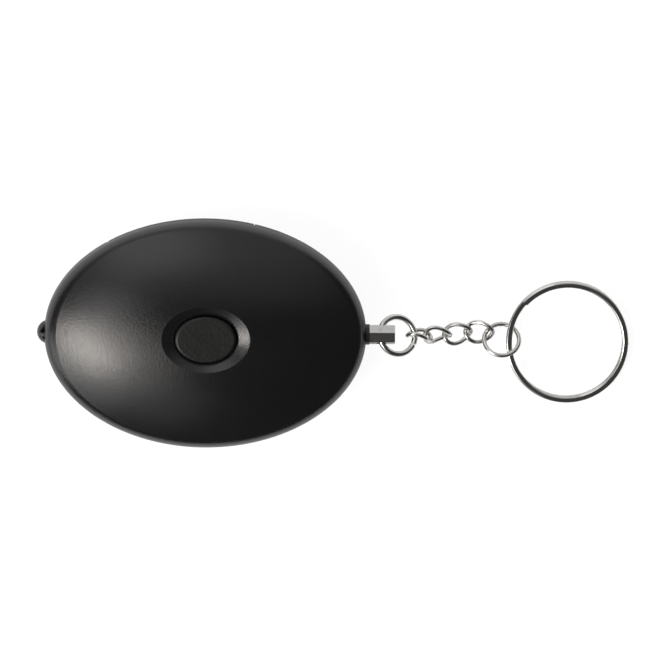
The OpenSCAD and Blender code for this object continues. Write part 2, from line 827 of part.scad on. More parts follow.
module chain_link_1() posed(link_1_pose, link_1_at) link();
module chain_link_2() posed(link_2_pose, link_2_at) link();
module chain_link_3() posed(link_3_pose, link_3_at) link();
module chain_link_4() posed(link_4_pose, link_4_at) link();

module connecting_ring() color(nickel) posed(join_pose, join_at)
  rotate_extrude() translate([join_r, 0]) circle(d = join_wire);

// Key ring: a lower turn, a ramp and an upper turn of one wire. The ends leave one side single.
key_from = 203.5;
key_ramp = 66;
key_step = 6;
key_arc = 720 - key_ramp;
key_lift = key_turn + key_gap;
key_path = [for (s = [0 : key_step : key_arc])
  let (f = min(max((s - (360 - key_ramp)) / key_ramp, 0), 1), a = key_from + s)
  [key_r * cos(a), key_r * sin(a), key_lift * (0.5 - cos(180 * f) / 2) - key_lift / 2]];
key_corner = 0.25;
key_w = key_wire / 2;
key_h = key_turn / 2;
key_section = [[key_w, key_corner - key_h], [key_w, key_h - key_corner], [key_w - key_corner, key_h],
  [key_corner - key_w, key_h], [-key_w, key_h - key_corner], [-key_w, key_corner - key_h],
  [key_corner - key_w, -key_h], [key_w - key_corner, -key_h]];

module key_ring() color(nickel) posed(key_pose, key_at)
  swept(key_path, [for (p = key_path) [0, 0, 1]], key_section, false);

echo(spring_self_gap = self_gap(spring_path, spring_wire, spring_steps / 2));
echo(key_ring_self_gap = self_gap(key_path, key_turn, 20));
top_shell();
rear_shell();
battery_door();
door_screw();
case_screws();
torch_button();
switch_plunger();
switch_body();
circuit_board();
board_screws();
lamp();
lamp_leads();
control_chip();
transistor();
chip_resistors();
capacitor();
coil_core();
coil_winding();
piezo_plate();
piezo_ceramic();
piezo_wires();
cell_1();
cell_2();
cell_3();
battery_spring();
spring_plate();
contact_plate();
pin_bush();
pull_pin();
leaf_post();
switch_leaf();
fixed_contact();
pin_ring();
chain_link_1();
chain_link_2();
chain_link_3();
chain_link_4();
connecting_ring();
key_ring();
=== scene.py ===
"""Looks of a personal safety alarm: oval case, torch button, lamp, pull pin, chain and key ring."""

from __future__ import annotations

import json
import logging
import math
from dataclasses import dataclass, field
from enum import Enum
from typing import Any, ClassVar, Mapping, Sequence, Union

import bmesh
import bpy
from mathutils import Matrix, Vector

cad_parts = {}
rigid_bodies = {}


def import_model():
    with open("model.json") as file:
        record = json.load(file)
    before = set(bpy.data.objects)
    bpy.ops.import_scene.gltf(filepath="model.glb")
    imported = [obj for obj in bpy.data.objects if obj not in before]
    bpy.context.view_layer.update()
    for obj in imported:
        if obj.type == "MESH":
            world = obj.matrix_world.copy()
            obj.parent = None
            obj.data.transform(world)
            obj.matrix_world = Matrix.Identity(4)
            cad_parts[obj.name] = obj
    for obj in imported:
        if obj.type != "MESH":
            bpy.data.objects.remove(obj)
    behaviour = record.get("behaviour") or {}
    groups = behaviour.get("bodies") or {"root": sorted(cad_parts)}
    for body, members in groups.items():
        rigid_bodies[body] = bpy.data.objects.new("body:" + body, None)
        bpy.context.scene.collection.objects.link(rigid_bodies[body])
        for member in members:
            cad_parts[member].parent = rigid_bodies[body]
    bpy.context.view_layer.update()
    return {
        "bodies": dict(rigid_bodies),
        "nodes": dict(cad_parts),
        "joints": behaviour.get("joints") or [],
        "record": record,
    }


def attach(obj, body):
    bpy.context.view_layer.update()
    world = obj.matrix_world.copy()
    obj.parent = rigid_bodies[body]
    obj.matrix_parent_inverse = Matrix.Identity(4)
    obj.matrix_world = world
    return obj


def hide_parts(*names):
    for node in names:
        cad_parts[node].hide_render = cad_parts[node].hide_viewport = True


LOG = logging.getLogger("alarm")
MM = 0.001
FULL_TURN = 2 * math.pi
# Edges past this angle stay sharp.
CREASE = math.radians(40.0)
# Height in mm of the line where the case's halves meet.
PARTING = 10.5
# Side of the photo in pixels.
PHOTO_SIDE = 665.0

Triple = tuple[float, float, float]
Profile = Sequence[tuple[float, float]]
Value = Union["Term", float, int, Sequence[float], None]


class Body(Enum):
    """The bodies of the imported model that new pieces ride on."""

    CASE = "case"
    PIN_RING = "pin_ring"
    LINK_1 = "chain_link_1"
    LINK_2 = "chain_link_2"
    LINK_3 = "chain_link_3"
    LINK_4 = "chain_link_4"
    CONNECTING_RING = "connecting_ring"
    KEY_RING = "key_ring"


class Slot(Enum):
    """The record's material slots, given with new pieces."""

    NICKEL = "bright_nickel"
    STEEL = "steel"
    COPPER = "copper"
    LENS = "lens"


class BoxShape(Enum):
    """The outline of a soft light, with the share of its rectangle that it fills."""

    RECTANGLE = 1.0
    ELLIPSE = math.pi / 4


def grey(level: float) -> tuple[float, float, float, float]:
    """A grey as the colour of a socket."""
    return level, level, level, 1.0


class Term:
    """One output of a node, so that Python's operators add Math nodes to its tree."""

    def __init__(self, graph: Graph, owner: bpy.types.Node, output: Union[int, str] = 0) -> None:
        """Keeps the tree, the node and its socket.

        Args:
            graph: The tree that the node is in.
            owner: The node.
            output: Name or number of the node's output.
        """
        self.graph = graph
        self.owner = owner
        self.socket = owner.outputs[output] if len(owner.outputs) else None

    def out(self, output: Union[int, str]) -> Term:
        """Another output of the same node."""
        return Term(self.graph, self.owner, output)

    def math(self, operation: str, *values: Value) -> Term:
        """A Math node on these values."""
        return self.graph.node("ShaderNodeMath", {"operation": operation}, dict(enumerate(values)))

    def __add__(self, other: Value) -> Term:
        """self + other."""
        return self.math("ADD", self, other)

    def __radd__(self, other: Value) -> Term:
        """other + self."""
        return self.math("ADD", other, self)

    def __sub__(self, other: Value) -> Term:
        """self - other."""
        return self.math("SUBTRACT", self, other)

    def __rsub__(self, other: Value) -> Term:
        """other - self."""
        return self.math("SUBTRACT", other, self)

    def __mul__(self, other: Value) -> Term:
        """self * other."""
        return self.math("MULTIPLY", self, other)

    def __rmul__(self, other: Value) -> Term:
        """other * self."""
        return self.math("MULTIPLY", other, self)

    def __truediv__(self, other: Value) -> Term:
        """self / other."""
        return self.math("DIVIDE", self, other)

    def __pow__(self, other: Value) -> Term:
        """self ** other."""
        return self.math("POWER", self, other)

    def __abs__(self) -> Term:
        """abs(self)."""
        return self.math("ABSOLUTE", self)

    def sin(self) -> Term:
        """Sine of an angle in radians."""
        return self.math("SINE", self)

    def cos(self) -> Term:
        """Cosine of an angle in radians."""
        return self.math("COSINE", self)

    def sign(self) -> Term:
        """-1, 0 or 1."""
        return self.math("SIGN", self)

    def least(self, other: Value) -> Term:
        """The smaller of two values."""
        return self.math("MINIMUM", self, other)

    def most(self, other: Value) -> Term:
        """The larger of two values."""
        return self.math("MAXIMUM", self, other)

    def rise(self, low: Value, high: Value) -> Term:
        """A smooth step from 0 at low to 1 at high."""
        settings = {"interpolation_type": "SMOOTHSTEP"}
        return self.graph.node("ShaderNodeMapRange", settings, {0: self, 1: low, 2: high})


class Graph:
    """Adds nodes to one shader or Geometry Nodes tree."""

    def __init__(self, tree: bpy.types.NodeTree) -> None:
        """Keeps the tree, emptied."""
        self.tree = tree
        tree.nodes.clear()

    def node(
        self,
        kind: str,
        settings: Mapping[str, Any] | None = None,
        inputs: Mapping[Union[int, str], Value] | None = None,
        output: Union[int, str] = 0,
    ) -> Term:
        """Adds one node.

        Args:
            kind: The node's type.
            settings: Its properties, set first.
            inputs: Values or links of its sockets, by name or number.
            output: The output that the result stands for.

        Returns:
            The node's output.
        """
        made = self.tree.nodes.new(kind)
        for name, value in (settings or {}).items():
            setattr(made, name, value)
        for key, value in (inputs or {}).items():
            if isinstance(value, Term):
                self.tree.links.new(value.socket, made.inputs[key])
            elif value is not None:
                made.inputs[key].default_value = value
        return Term(self, made, output)

    def place(self) -> Term:
        """The point on the piece, in metres."""
        return self.node("ShaderNodeTexCoord", output="Object")

    def axes(self, vector: Term) -> tuple[Term, Term, Term]:
        """A vector's three parts."""
        parts = self.node("ShaderNodeSeparateXYZ", {}, {0: vector})
        return parts, parts.out(1), parts.out(2)

    def vector(self, x: Value = None, y: Value = None, z: Value = None) -> Term:
        """A vector of three parts, each 0 unless given."""
        return self.node("ShaderNodeCombineXYZ", {}, {0: x, 1: y, 2: z})

    def hoop(self, sides: int, radius: Value = 1.0) -> Term:
        """A circle as a curve."""
        values = {"Resolution": sides, "Radius": radius}
        return self.node("GeometryNodeCurvePrimitiveCircle", {"mode": "RADIUS"}, values)

    def swept(self, curve: Term, section: Term) -> Term:
        """A section drawn along a curve, closed at its ends."""
        values = {"Curve": curve, "Profile Curve": section, "Fill Caps": True}
        return self.node("GeometryNodeCurveToMesh", {}, values)

    def moved(self, mesh: Term, shift: Term) -> Term:
        """A mesh moved by a vector."""
        return self.node("GeometryNodeTransform", {}, {"Geometry": mesh, "Translation": shift})

    def stretched(self, vector: Term, scale: Triple) -> Term:
        """The vector with each axis scaled."""
        return self.node("ShaderNodeMapping", {}, {"Vector": vector, "Scale": scale})

    def noise(
        self, vector: Term, size: float, detail: float = 2.0, distortion: float = 0.0
    ) -> Term:
        """Cloudy noise between 0 and 1.

        Args:
            vector: Where it is read.
            size: Size of its lumps in mm.
            detail: Number of finer octaves.
            distortion: How far it is stirred.

        Returns:
            The noise.
        """
        values = {"Vector": vector, "Scale": 1 / (size * MM)}
        values |= {"Detail": detail, "Distortion": distortion}
        return self.node("ShaderNodeTexNoise", {"noise_dimensions": "3D"}, values)

    def cells(self, vector: Term, size: float) -> Term:
        """Distance to the nearest of scattered points, with cells of the size in mm."""
        values = {"Vector": vector, "Scale": 1 / (size * MM)}
        return self.node("ShaderNodeTexVoronoi", {"feature": "F1"}, values)

    def blend(
        self, factor: Value, first: Union[Term, Triple], second: Union[Term, Triple]
    ) -> Term:
        """Mixes two colours.

        Args:
            factor: Share of the second colour.
            first: Colour at 0.
            second: Colour at 1.

        Returns:
            The mixed colour.
        """
        settings = {"data_type": "RGBA", "clamp_factor": True}
        pair = [(*c, 1.0) if isinstance(c, tuple) else c for c in (first, second)]
        return self.node("ShaderNodeMix", settings, {0: factor, 6: pair[0], 7: pair[1]}, output=2)

    def relief(self, height: Term, depth: float) -> Term:
        """A normal bent by a height, of which 1 stands for the depth in mm."""
        values = {"Strength": 1.0, "Distance": depth * MM, "Height": height}
        return self.node("ShaderNodeBump", {}, values)


@dataclass(frozen=True)
class Finish:
    """A finish: what its surface is made of, and how its nodes draw it."""

    name: str
    colour: Triple
    roughness: float

    def fixed(self) -> dict[str, Any]:
        """The shader's sockets that are the same all over the surface, if any."""
        return {}

    def varied(self, graph: Graph) -> dict[str, Term]:
        """The shader's sockets that change over the surface."""
        raise NotImplementedError

    def material(self) -> bpy.types.Material:
        """The finish as a material, made once.

        Returns:
            The material.
        """
        known = bpy.data.materials.get(self.name)
        if known:
            return known
        made = bpy.data.materials.new(self.name)
        made.use_nodes = True
        made.diffuse_color = (*self.colour, 1.0)
        graph = Graph(made.node_tree)
        values = {**self.fixed(), **self.varied(graph)}
        shader = graph.node("ShaderNodeBsdfPrincipled", {}, values)
        graph.node("ShaderNodeOutputMaterial", {}, {"Surface": shader})
        return made

    def dress(self, *pieces: bpy.types.Object) -> None:
        """Gives the finish to pieces.

        Args:
            pieces: The pieces, whose own materials go.
        """
        for piece in pieces:
            piece.data.materials.clear()
            piece.data.materials.append(self.material())
            LOG.info("%s wears %s", piece.name, self.name)


@dataclass(frozen=True)
class Moulded(Finish):
    """Spark-eroded moulded plastic: a fine even grain over slow clouds of gloss."""

    grain: float = 0.3
    depth: float = 0.012
    light: Triple = (0.03, 0.03, 0.03)
    spread: float = 0.1
    gloss: float = 0.5
    fleck: float = 0.06
    seam: bool = False

    CLOUD: ClassVar[float] = 14.0
    SEAM_RUN: ClassVar[tuple[float, float]] = (0.05 * MM, 0.13 * MM)
    SEAM_DEPTH: ClassVar[float] = 6.0
    SEAM_PAINTED_SHADE: ClassVar[Triple] = (0.002, 0.002, 0.002)

    def fixed(self) -> dict[str, Any]:
        """Plain plastic gloss."""
        return {"IOR": 1.5, "Specular IOR Level": self.gloss}

    def varied(self, graph: Graph) -> dict[str, Term]:
        """Grain, clouds and, on the case, the line where its halves meet: a real groove in the
        relief, with painted shade in its colour.

        Args:
            graph: The material's tree.

        Returns:
            The sockets by name.
        """
        place = graph.place()
        grain = graph.noise(place, self.grain, 2.0)
        clouds = graph.noise(place, self.CLOUD, 3.0, 0.6)
        tone = (grain - 0.5) * 1.1 + (clouds - 0.5) * 0.6 + 0.5
        colour = graph.blend(tone, self.colour, self.light)
        rough = self.roughness + (clouds - 0.5) * self.spread + (grain - 0.5) * self.fleck
        height = grain
        if self.seam:
            above = graph.axes(place)[2] - PARTING * MM
            open_line = 1 - abs(above).rise(*self.SEAM_RUN)
            height = grain - open_line * self.SEAM_DEPTH
            # Painted shade: the seam's colour is darkened as if shade fell into the gap between the
            # shells.
            colour = graph.blend(open_line * 0.85, colour, self.SEAM_PAINTED_SHADE)
        bent = graph.relief(height, self.depth)
        return {"Base Color": colour, "Roughness": rough, "Normal": bent}


@dataclass(frozen=True)
class Plated(Finish):
    """Bright plated wire and sheet: smoky wisps, hairline scratches and a few pits."""

    smoke: Triple = (0.42, 0.41, 0.39)
    spread: float = 0.08
    scratch: float = 0.0015

    WISP: ClassVar[float] = 2.2
    HAIR: ClassVar[float] = 0.12
    HAIR_STRETCH: ClassVar[Triple] = (0.12, 1.0, 1.0)
    PIT: ClassVar[float] = 0.9

    def fixed(self) -> dict[str, Any]:
        """A metal all over."""
        return {"Metallic": 1.0}

    def varied(self, graph: Graph) -> dict[str, Term]:
        """Wisps in colour and gloss, scratches in the relief.

        Args:
            graph: The material's tree.

        Returns:
            The sockets by name.
        """
        place = graph.place()
        wisps = graph.noise(place, self.WISP, 4.0, 1.2)
        hairs = graph.noise(graph.stretched(place, self.HAIR_STRETCH), self.HAIR)
        pits = 1 - graph.cells(place, self.PIT).rise(0.02, 0.09)
        stain = wisps.rise(0.52, 0.8) * 0.5 + pits * 0.6
        sheen = (wisps - 0.5) * self.spread + (hairs - 0.5) * self.spread * 0.6
        return {
            "Base Color": graph.blend(stain, self.colour, self.smoke),
            "Roughness": self.roughness + sheen + pits * 0.15,
            "Normal": graph.relief(hairs - pits * 2.0, self.scratch),
        }


@dataclass(frozen=True)
class Turned(Finish):
    """Sheet or turned metal with fine tool rings about a vertical axis."""

    centre: Triple = (0.0, 0.0, 0.0)
    pitch: float = 0.12
    dull: Triple = (0.3, 0.2, 0.07)

    TARNISH: ClassVar[float] = 1.6
    DEPTH: ClassVar[float] = 0.004

    def fixed(self) -> dict[str, Any]:
        """A metal all over."""
        return {"Metallic": 1.0}

    def varied(self, graph: Graph) -> dict[str, Term]:
        """Tool rings in the relief, tarnish in the colour.

        Args:
            graph: The material's tree.

        Returns:
            The sockets by name.
        """
        place = graph.place()
        x, y, _ = graph.axes(place)
        across, along = x - self.centre[0] * MM, y - self.centre[1] * MM
        radius = (across * across + along * along) ** 0.5
        rings = (radius * (FULL_TURN / (self.pitch * MM))).sin() * 0.5 + 0.5
        tarnish = graph.noise(place, self.TARNISH, 4.0, 0.8)
        stain = tarnish.rise(0.45, 0.75) * 0.7
        return {
            "Base Color": graph.blend(stain, self.colour, self.dull),
            "Roughness": self.roughness + (tarnish - 0.5) * 0.2,
            "Normal": graph.relief(rings + tarnish, self.DEPTH),
        }


@dataclass(frozen=True)
class Laminate(Finish):
    """Printed circuit board: solder mask over etched tracks, with bare pads."""

    pad: Triple = (0.75, 0.55, 0.25)

    LANE: ClassVar[float] = 1.1
    PAD: ClassVar[float] = 3.4
    WEAVE: ClassVar[float] = 9000.0
    DEPTH: ClassVar[float] = 0.03

    def varied(self, graph: Graph) -> dict[str, Term]:
        """Tracks show as raised lines under the mask, pads as bright dots.

        Args:
            graph: The material's tree.

        Returns:
            The sockets by name.
        """
        place = graph.place()
        x, y, _ = graph.axes(place)
        lanes = graph.noise(graph.stretched(place, (0.15, 1.0, 0.0)), self.LANE, 0.0)
        tracks = 1 - abs(lanes - 0.5).rise(0.03, 0.06)
        flat = graph.stretched(place, (1.0, 1.0, 0.0))
        dots = 1 - graph.cells(flat, self.PAD).rise(0.1, 0.13)
        weave = ((x * self.WEAVE).sin() * (y * self.WEAVE).sin()) * 0.5 + 0.5
        mask = graph.blend(tracks * 0.6, self.colour, tuple(1.9 * c for c in self.colour))
        return {
            "Base Color": graph.blend(dots, mask, self.pad),
            "Metallic": dots,
            "Roughness": self.roughness + weave * 0.08 - dots * 0.1,
            "Normal": graph.relief(tracks + dots + weave * 0.1, self.DEPTH),
        }


@dataclass(frozen=True)
class Fired(Finish):
    """Sintered ceramic, ferrite or moulded component body: dense specks in a dull ground."""

    fleck: Triple = (0.1, 0.1, 0.1)
    speck: float = 0.25

    LUMP: ClassVar[float] = 8
    DEPTH: ClassVar[float] = 0.008

    def varied(self, graph: Graph) -> dict[str, Term]:
        """Specks in colour, gloss and relief.

        Args:
            graph: The material's tree.

        Returns:
            The sockets by name.
        """
        place = graph.place()
        dust = graph.noise(place, self.speck, 3.0)
        lumps = graph.noise(place, self.speck * self.LUMP)
        specks = dust.rise(0.45, 0.7) * 0.6 + lumps * 0.3
        return {
            "Base Color": graph.blend(specks, self.colour, self.fleck),
            "Roughness": self.roughness + (dust - 0.5) * 0.2,
            "Normal": graph.relief(dust, self.DEPTH),
        }


@dataclass(frozen=True)
class Clear(Finish):
    """Clear cast resin of the lamp, faintly smoky, with moulding ripples."""

    RIPPLE: ClassVar[float] = 1.8
    DEPTH: ClassVar[float] = 0.003

    def fixed(self) -> dict[str, Any]:
        """Light passes through it."""
        return {"IOR": 1.5, "Transmission Weight": 1.0}

    def varied(self, graph: Graph) -> dict[str, Term]:
        """A slow ripple and slightly uneven gloss.

        Args:
            graph: The material's tree.

        Returns:
            The sockets by name.
        """
        place = graph.place()
        ripple = graph.noise(place, self.RIPPLE)
        smoky = tuple(0.85 * c for c in self.colour)
        return {
            "Base Color": graph.blend(ripple, self.colour, smoky),
            "Roughness": self.roughness + ripple * 0.03,
            "Normal": graph.relief(ripple, self.DEPTH),
        }


class Finishes:
    """Every finish of the object."""

    CASE = Moulded(
        "case_plastic", (0.006, 0.006, 0.0063), 0.235, light=(0.013, 0.0128, 0.013),
        grain=0.36, depth=0.034, spread=0.05, fleck=0.12, seam=True,
    )
    BUTTON = Moulded(
        "button_plastic", (0.005, 0.005, 0.005), 0.42, light=(0.011, 0.011, 0.011),
        grain=0.6, depth=0.045, gloss=0.38,
    )
    BUSH = Moulded(
        "bush_nylon", (0.008, 0.008, 0.008), 0.36, light=(0.014, 0.014, 0.014),
        grain=0.5, depth=0.006,
    )
    NICKEL = Plated("bright_nickel_plate", (0.64, 0.63, 0.61), 0.14)
    STEEL = Plated(
        "zinc_steel", (0.58, 0.58, 0.57), 0.26,
        smoke=(0.3, 0.3, 0.3), spread=0.14, scratch=0.002,
    )
    CELL = Turned("cell_steel", (0.66, 0.66, 0.65), 0.24, pitch=0.2, dull=(0.42, 0.42, 0.41))
    BRASS = Turned("turned_brass", (0.78, 0.57, 0.22), 0.26)
    PIEZO_BRASS = Turned("piezo_brass", (0.78, 0.57, 0.22), 0.24, centre=(15.0, -6.2, 0.0))
    COPPER = Plated("enamelled_copper", (0.72, 0.3, 0.12), 0.22, smoke=(0.4, 0.13, 0.05))
    BOARD = Laminate("board_laminate", (0.012, 0.09, 0.035), 0.38)
    COMPONENT = Fired("component_epoxy", (0.02, 0.02, 0.022), 0.5, fleck=(0.05, 0.05, 0.05))
    FERRITE = Fired("ferrite", (0.035, 0.034, 0.034), 0.6, speck=0.4)
    CERAMIC = Fired("silvered_ceramic", (0.72, 0.7, 0.66), 0.45, fleck=(0.55, 0.53, 0.5))
    SLEEVE = Fired(
        "wire_sleeve", (0.42, 0.03, 0.025), 0.42, fleck=(0.3, 0.02, 0.02), speck=0.5
    )
    LENS = Clear("clear_resin", (0.55, 0.56, 0.58), 0.02)


def lathe(profile: Profile, sides: int) -> bmesh.types.BMesh:
    """Turns a profile round the Z axis.

    Args:
        profile: Radius and height of each point in mm; a radius of 0 closes an end.
        sides: Points round the axis.

    Returns:
        The closed mesh.
    """
    made = bmesh.new()
    rows = []
    for radius, height in profile:
        count = sides if radius > 1e-6 else 1
        row = []
        for angle in (FULL_TURN * i / sides for i in range(count)):
            point = (radius * math.cos(angle), radius * math.sin(angle), height)
            row.append(made.verts.new(point))
        rows.append(row)
    for low, high in zip(rows, rows[1:]):
        for i in range(sides):
            lower = [low[k % sides % len(low)] for k in (i, i + 1)]
            upper = [high[k % sides % len(high)] for k in (i + 1, i)]
            made.faces.new(list(dict.fromkeys(lower + upper)))
    bmesh.ops.recalc_face_normals(made, faces=made.faces)
    return made


def as_object(name: str, mesh: bmesh.types.BMesh, matrix: Matrix) -> bpy.types.Object:
    """Makes a piece of a mesh in mm.

    Args:
        name: The piece's name.
        mesh: The mesh, used up here.
        matrix: Its place in mm.

    Returns:
        The piece, at the origin with its place in its mesh.
    """
    mesh.transform(Matrix.Scale(MM, 4) @ matrix)
    data = bpy.data.meshes.new(name)
    mesh.to_mesh(data)
    mesh.free()
    data.shade_smooth()
    data.set_sharp_from_angle(angle=CREASE)
    piece = bpy.data.objects.new(name, data)
    bpy.context.scene.collection.objects.link(piece)
    return piece


def fit(piece: bpy.types.Object, body: Body, slot: Slot, *nodes: str) -> None:
    """Puts a new piece in the frame.

    Args:
        piece: The new piece.
        body: The body that it moves with.
        slot: The record's material slot that matches its finish; not used.
        nodes: The CAD nodes that it stands for.
    """
    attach(piece, body.value)
    if nodes:
        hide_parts(*nodes)
    LOG.info("%s rides on %s, %d faces", piece.name, body.value, len(piece.data.polygons))


class Recipe:
    """A Geometry Nodes tree with named inputs, whose result is taken as a plain mesh."""

    def __init__(self, name: str, sizes: Mapping[str, str]) -> None:
        """Starts the tree.

        Args:
            name: Name of the tree.
            sizes: The inputs' names, and their socket types without the prefix.
        """
        self.tree = bpy.data.node_groups.new(name, "GeometryNodeTree")
        self.tree.is_modifier = True
        self.graph = Graph(self.tree)
        self.sockets: dict[str, str] = {}
        add = self.tree.interface.new_socket
        add("Mesh", in_out="OUTPUT", socket_type="NodeSocketGeometry")
        for label, kind in {"Points": "Geometry", **sizes, "Finish": "Material"}.items():
            socket = add(label, in_out="INPUT", socket_type="NodeSocket" + kind)
            self.sockets[label] = socket.identifier
        self.given = self.graph.node("NodeGroupInput")

    def size(self, label: str) -> Term:
        """One named input."""
        return self.given.out(label)

    def join(self, *parts: Term) -> Term:
        """Several meshes as one.

        Args:
            parts: The meshes.

        Returns:
            The joined mesh.
        """
        joined = self.graph.node("GeometryNodeJoinGeometry")
        for part in parts:
            self.tree.links.new(part.socket, joined.owner.inputs[0])
        return joined

    def close(self, geometry: Term) -> None:
        """Ends the tree in Realize Instances and Set Material.

        Args:
            geometry: What the tree has made.
        """
        smooth = self.graph.node("GeometryNodeSetShadeSmooth", {}, {"Geometry": geometry})
        real = self.graph.node("GeometryNodeRealizeInstances", {}, {"Geometry": smooth})
        values = {"Geometry": real, "Material": self.size("Finish")}
        dressed = self.graph.node("GeometryNodeSetMaterial", {}, values)
        self.graph.node("NodeGroupOutput", {}, {0: dressed})

    def make(
        self, name: str, finish: Finish, sizes: Mapping[str, Any], points: Sequence[Triple] = ()
    ) -> bpy.types.Object:
        """Runs the tree.

        Args:
            name: Name of the piece.
            finish: Its finish.
            sizes: Values of the named inputs.
            points: Where the shape is repeated, in metres.

        Returns:
            The piece, as a plain mesh.
        """
        base = bpy.data.meshes.new(name)
        base.from_pydata(points, [], [])
        piece = bpy.data.objects.new(name, base)
        bpy.context.scene.collection.objects.link(piece)
        modifier = piece.modifiers.new("recipe", "NODES")
        modifier.node_group = self.tree
        for label, value in {**sizes, "Finish": finish.material()}.items():
            modifier[self.sockets[label]] = value
        bpy.context.view_layer.update()
        solid = piece.evaluated_get(bpy.context.evaluated_depsgraph_get())
        mesh = bpy.data.meshes.new_from_object(solid)
        mesh.set_sharp_from_angle(angle=CREASE)
        piece.modifiers.clear()
        piece.data = mesh
        mesh.name = name
        return piece


@dataclass
class BentWire:
    """A wire bent along a rule, posed by yaw, pitch and roll in degrees.

    ENDS says how thin the ends of an open wire are, and the share of its length over which it
    grows to its full size.
    """

    body: Body
    pose: Triple
    middle: Triple
    wire: float

    STEPS: ClassVar[int] = 120
    SIDES: ClassVar[int] = 24
    CLOSED: ClassVar[bool] = True
    ENDS: ClassVar[tuple[float, float]] = (1.0, 0.001)
    NODE: ClassVar[str] = ""
    SLOT: ClassVar[Slot] = Slot.NICKEL
    recipes: ClassVar[dict[type, Recipe]] = {}

    def sizes(self) -> dict[str, float]:
        """The rule's own sizes, in metres or radians."""
        raise NotImplementedError

    @classmethod
    def course(cls, recipe: Recipe, share: Term) -> tuple[Term, Term, Term]:
        """Where the wire's middle runs, by the share of its length."""
        raise NotImplementedError

    @staticmethod
    def circle(radius: Term, angle: Term) -> tuple[Term, Term]:
        """A point of a circle."""
        return radius * angle.cos(), radius * angle.sin()

    @classmethod
    def girth(cls, recipe: Recipe, share: Term) -> Term:
        """How thick the wire is, as a share of its full size: thinner at its ends."""
        thin, run = cls.ENDS
        return thin + share.least(1 - share).rise(0.0, run) * (1 - thin)

    @staticmethod
    def neck(share: Term, joint: Value, run: tuple[float, float], depth: float) -> Term:
        """The girth of a closed wire: full, but for a narrow neck at its joint."""
        return 1 - (1 - abs(share - joint).rise(*run)) * depth

    @classmethod
    def section(cls, recipe: Recipe) -> Term:
        """The wire's section."""
        return recipe.graph.hoop(cls.SIDES, recipe.size("Wire") * 0.5)

    def recipe(self) -> Recipe:
        """The rule's tree, made once.

        Returns:
            The tree.
        """
        rule = type(self)
        if rule in BentWire.recipes:
            return BentWire.recipes[rule]
        kinds = {label: "Float" for label in ("Wire", *self.sizes())}
        recipe = Recipe(rule.__name__, {**kinds, "Turn": "Vector", "Middle": "Vector"})
        graph = recipe.graph
        if self.CLOSED:
            line = graph.hoop(self.STEPS)
        else:
            rod = graph.node("GeometryNodeCurvePrimitiveLine", {}, {"End": (1.0, 0.0, 0.0)})
            values = {"Curve": rod, "Count": self.STEPS}
            line = graph.node("GeometryNodeResampleCurve", {}, values)
        share = graph.node("GeometryNodeSplineParameter")
        held = graph.node("GeometryNodeCaptureAttribute", {}, {"Geometry": line})
        held.owner.capture_items.new("FLOAT", "share")
        graph.tree.links.new(share.socket, held.owner.inputs[1])
        share = held.out(1)
        point = graph.vector(*self.course(recipe, share))
        bent = graph.node("GeometryNodeSetPosition", {}, {"Geometry": held, "Position": point})
        mode = "MINIMUM_TWIST" if self.CLOSED else "Z_UP"
        level = graph.node("GeometryNodeSetCurveNormal", {"mode": mode}, {"Curve": bent})
        values = {"Curve": level, "Radius": self.girth(recipe, share)}
        sized = graph.node("GeometryNodeSetCurveRadius", {}, values)
        swept = graph.swept(sized, self.section(recipe))
        turn = graph.node("FunctionNodeEulerToRotation", {}, {0: recipe.size("Turn")})
        values = {"Geometry": swept, "Translation": recipe.size("Middle"), "Rotation": turn}
        recipe.close(graph.node("GeometryNodeTransform", {}, values))
        BentWire.recipes[rule] = recipe
        return recipe

    def build(self, finish: Finish) -> None:
        """Bends the wire and puts it in the frame in place of its CAD node.

        Args:
            finish: The wire's finish.
        """
        yaw, pitch, roll = (math.radians(a) for a in self.pose)
        values = {"Wire": self.wire * MM, **self.sizes()}
        values["Turn"] = (roll, pitch, yaw)
        values["Middle"] = tuple(c * MM for c in self.middle)
        node = self.NODE or self.body.value
        piece = self.recipe().make(node + "_wire", finish, values)
        fit(piece, self.body, self.SLOT, node)


@dataclass
class TwistedLink(BentWire):
    """An oval link of curb chain, twisted about its length, with the joint where its ends meet."""

    length: float = 6.5
    width: float = 5.1
    twist: float = 32.0

    def sizes(self) -> dict[str, float]:
        """Outside length and width, and the twist."""
        across = {"Length": self.length * MM, "Width": self.width * MM}
        return {**across, "Twist": math.radians(self.twist)}

    @classmethod
    def course(cls, recipe: Recipe, share: Term) -> tuple[Term, Term, Term]:
        """An oval whose plane turns from one end to the other.

        Args:
            recipe: The tree.
            share: The share of the wire's length.

        Returns:
            The point's three coordinates.
        """
        angle = share * FULL_TURN
        wire = recipe.size("Wire")
        reach = (recipe.size("Width") - wire) * 0.5 * angle.sin()
        lean = recipe.size("Twist") * angle.cos()
        along = (recipe.size("Length") - wire) * 0.5 * angle.cos()
        return along, *cls.circle(reach, lean)

    @classmethod
    def girth(cls, recipe: Recipe, share: Term) -> Term:
        """Full, but for a narrow neck at the joint in one long side."""
        return cls.neck(share, 0.25, (0.002, 0.008), 0.16)


@dataclass
class ClosedRing(BentWire):
    """A plain wire ring with a closed butt joint."""

    radius: float = 3.6
    joint: float = 0.0

    def sizes(self) -> dict[str, float]:
        """Radius of the wire's middle, and where the joint is."""
        return {"Radius": self.radius * MM, "Joint": (self.joint % 360.0) / 360.0}

    @classmethod
    def course(cls, recipe: Recipe, share: Term) -> tuple[Term, Term, Term]:
        """A circle."""
        return *cls.circle(recipe.size("Radius"), share * FULL_TURN), share * 0.0

    @classmethod
    def girth(cls, recipe: Recipe, share: Term) -> Term:
        """Full, but for a narrow neck at the joint."""
        return cls.neck(share, recipe.size("Joint"), (0.002, 0.007), 0.14)


